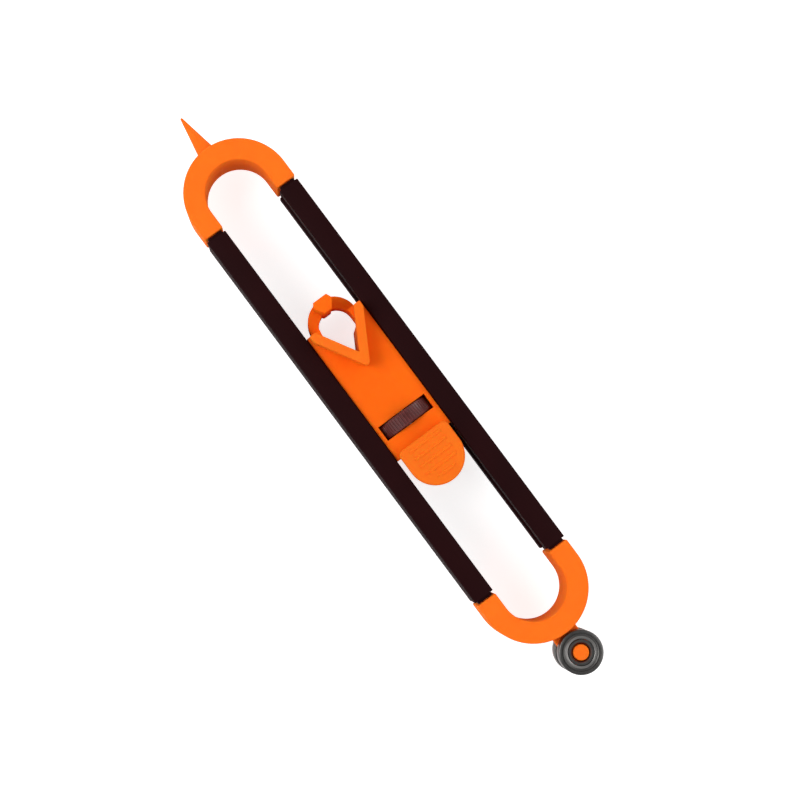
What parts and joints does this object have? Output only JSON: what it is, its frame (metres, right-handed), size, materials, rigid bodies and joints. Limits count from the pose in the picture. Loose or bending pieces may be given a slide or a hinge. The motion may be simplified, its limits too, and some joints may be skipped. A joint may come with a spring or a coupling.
{
  "type": "contour gauge for scribing",
  "caption": "Scribing gauge: slotted rail frame with a pointer at one end and twin ball-bearing rollers at the other, and a sliding carriage with a screw-driven V jaw that grips a pencil.",
  "frame": {"origin": "under the middle of the whole tool, on the plane of the carriage base's back face", "axes": "+X across the frame to the right rail, +Y along the frame to the pointer, +Z from the back to the front where the V jaw stands"},
  "size_m": [0.037, 0.231, 0.029],
  "materials": {
    "anodised_aluminium": "black anodised, satin",
    "orange_plastic": "moulded orange, fine satin grain",
    "light_orange_plastic": "moulded orange, satin",
    "dark_plastic": "moulded dark brown, knurled",
    "bearing_steel": "ground bearing steel",
    "shield_steel": "pressed steel shield",
    "plated_steel": "zinc plated or drawn steel",
    "pad_rubber": "matt black rubber"
  },
  "bodies": {
    "frame": {"left_rail": "anodised_aluminium", "right_rail": "anodised_aluminium", "pointer_end_cap": "orange_plastic", "wheel_end_cap": "orange_plastic", "front_bearing_inner_ring": "bearing_steel", "rear_bearing_inner_ring": "bearing_steel"},
    "front_wheel": {"front_bearing_outer_ring": "bearing_steel", "front_bearing_upper_shield": "shield_steel", "front_bearing_lower_shield": "shield_steel"},
    "rear_wheel": {"rear_bearing_outer_ring": "bearing_steel", "rear_bearing_upper_shield": "shield_steel", "rear_bearing_lower_shield": "shield_steel"},
    "front_ball_cage": {"front_bearing_cage": "bearing_steel", "front_bearing_ball_1": "bearing_steel", "front_bearing_ball_2": "bearing_steel", "front_bearing_ball_3": "bearing_steel", "front_bearing_ball_4": "bearing_steel", "front_bearing_ball_5": "bearing_steel", "front_bearing_ball_6": "bearing_steel", "front_bearing_ball_7": "bearing_steel"},
    "rear_ball_cage": {"rear_bearing_cage": "bearing_steel", "rear_bearing_ball_1": "bearing_steel", "rear_bearing_ball_2": "bearing_steel", "rear_bearing_ball_3": "bearing_steel", "rear_bearing_ball_4": "bearing_steel", "rear_bearing_ball_5": "bearing_steel", "rear_bearing_ball_6": "bearing_steel", "rear_bearing_ball_7": "bearing_steel"},
    "carriage": {"carriage_body": "orange_plastic", "carriage_base": "orange_plastic", "cover_screw_1": "plated_steel", "cover_screw_2": "plated_steel", "cover_screw_3": "plated_steel", "cover_screw_4": "plated_steel", "lever_pin": "plated_steel", "lever_spring": "plated_steel"},
    "jaw": {"pencil_jaw": "light_orange_plastic"},
    "adjuster": {"thumbwheel": "dark_plastic", "jaw_screw": "plated_steel"},
    "lever": {"thumb_lever": "light_orange_plastic", "left_brake_pad": "pad_rubber", "right_brake_pad": "pad_rubber"}
  },
  "joints": [
    {"name": "carriage_slide", "type": "slide", "parent": "frame", "child": "carriage", "axis": [0, 1, 0], "range_m": [-0.0535, 0.0455]},
    {"name": "thumbwheel_turn", "type": "hinge", "parent": "carriage", "child": "adjuster", "pos_m": [0, -0.01095, 0.0155], "axis": [0, -1, 0], "range_deg": [-288, 1350]},
    {"name": "jaw_slide", "type": "slide", "parent": "carriage", "child": "jaw", "axis": [0, 1, 0], "range_m": [-0.0016, 0.0075]},
    {"name": "lever_press", "type": "hinge", "parent": "carriage", "child": "lever", "pos_m": [0, -0.0235, 0.013], "axis": [1, 0, 0], "range_deg": [0, 7], "stiffness_Nm_per_rad": 0.008, "springref_deg": -8.59, "deforming": ["lever_spring"]},
    {"name": "front_wheel_spin", "type": "hinge", "parent": "frame", "child": "front_wheel", "pos_m": [0, -0.108, 0.0196], "axis": [0, 0, 1], "continuous": true},
    {"name": "rear_wheel_spin", "type": "hinge", "parent": "frame", "child": "rear_wheel", "pos_m": [0, -0.108, 0.0094], "axis": [0, 0, 1], "continuous": true},
    {"name": "front_cage_orbit", "type": "hinge", "parent": "frame", "child": "front_ball_cage", "pos_m": [0, -0.108, 0.0196], "axis": [0, 0, 1], "continuous": true},
    {"name": "rear_cage_orbit", "type": "hinge", "parent": "frame", "child": "rear_ball_cage", "pos_m": [0, -0.108, 0.0094], "axis": [0, 0, 1], "continuous": true}
  ],
  "couplings": [
    {"joint": "thumbwheel_turn", "follows": "jaw_slide", "rad_per_m": 3141.6},
    {"joint": "front_cage_orbit", "follows": "front_wheel_spin", "ratio": 0.6058},
    {"joint": "rear_cage_orbit", "follows": "rear_wheel_spin", "ratio": 0.6058}
  ]
}
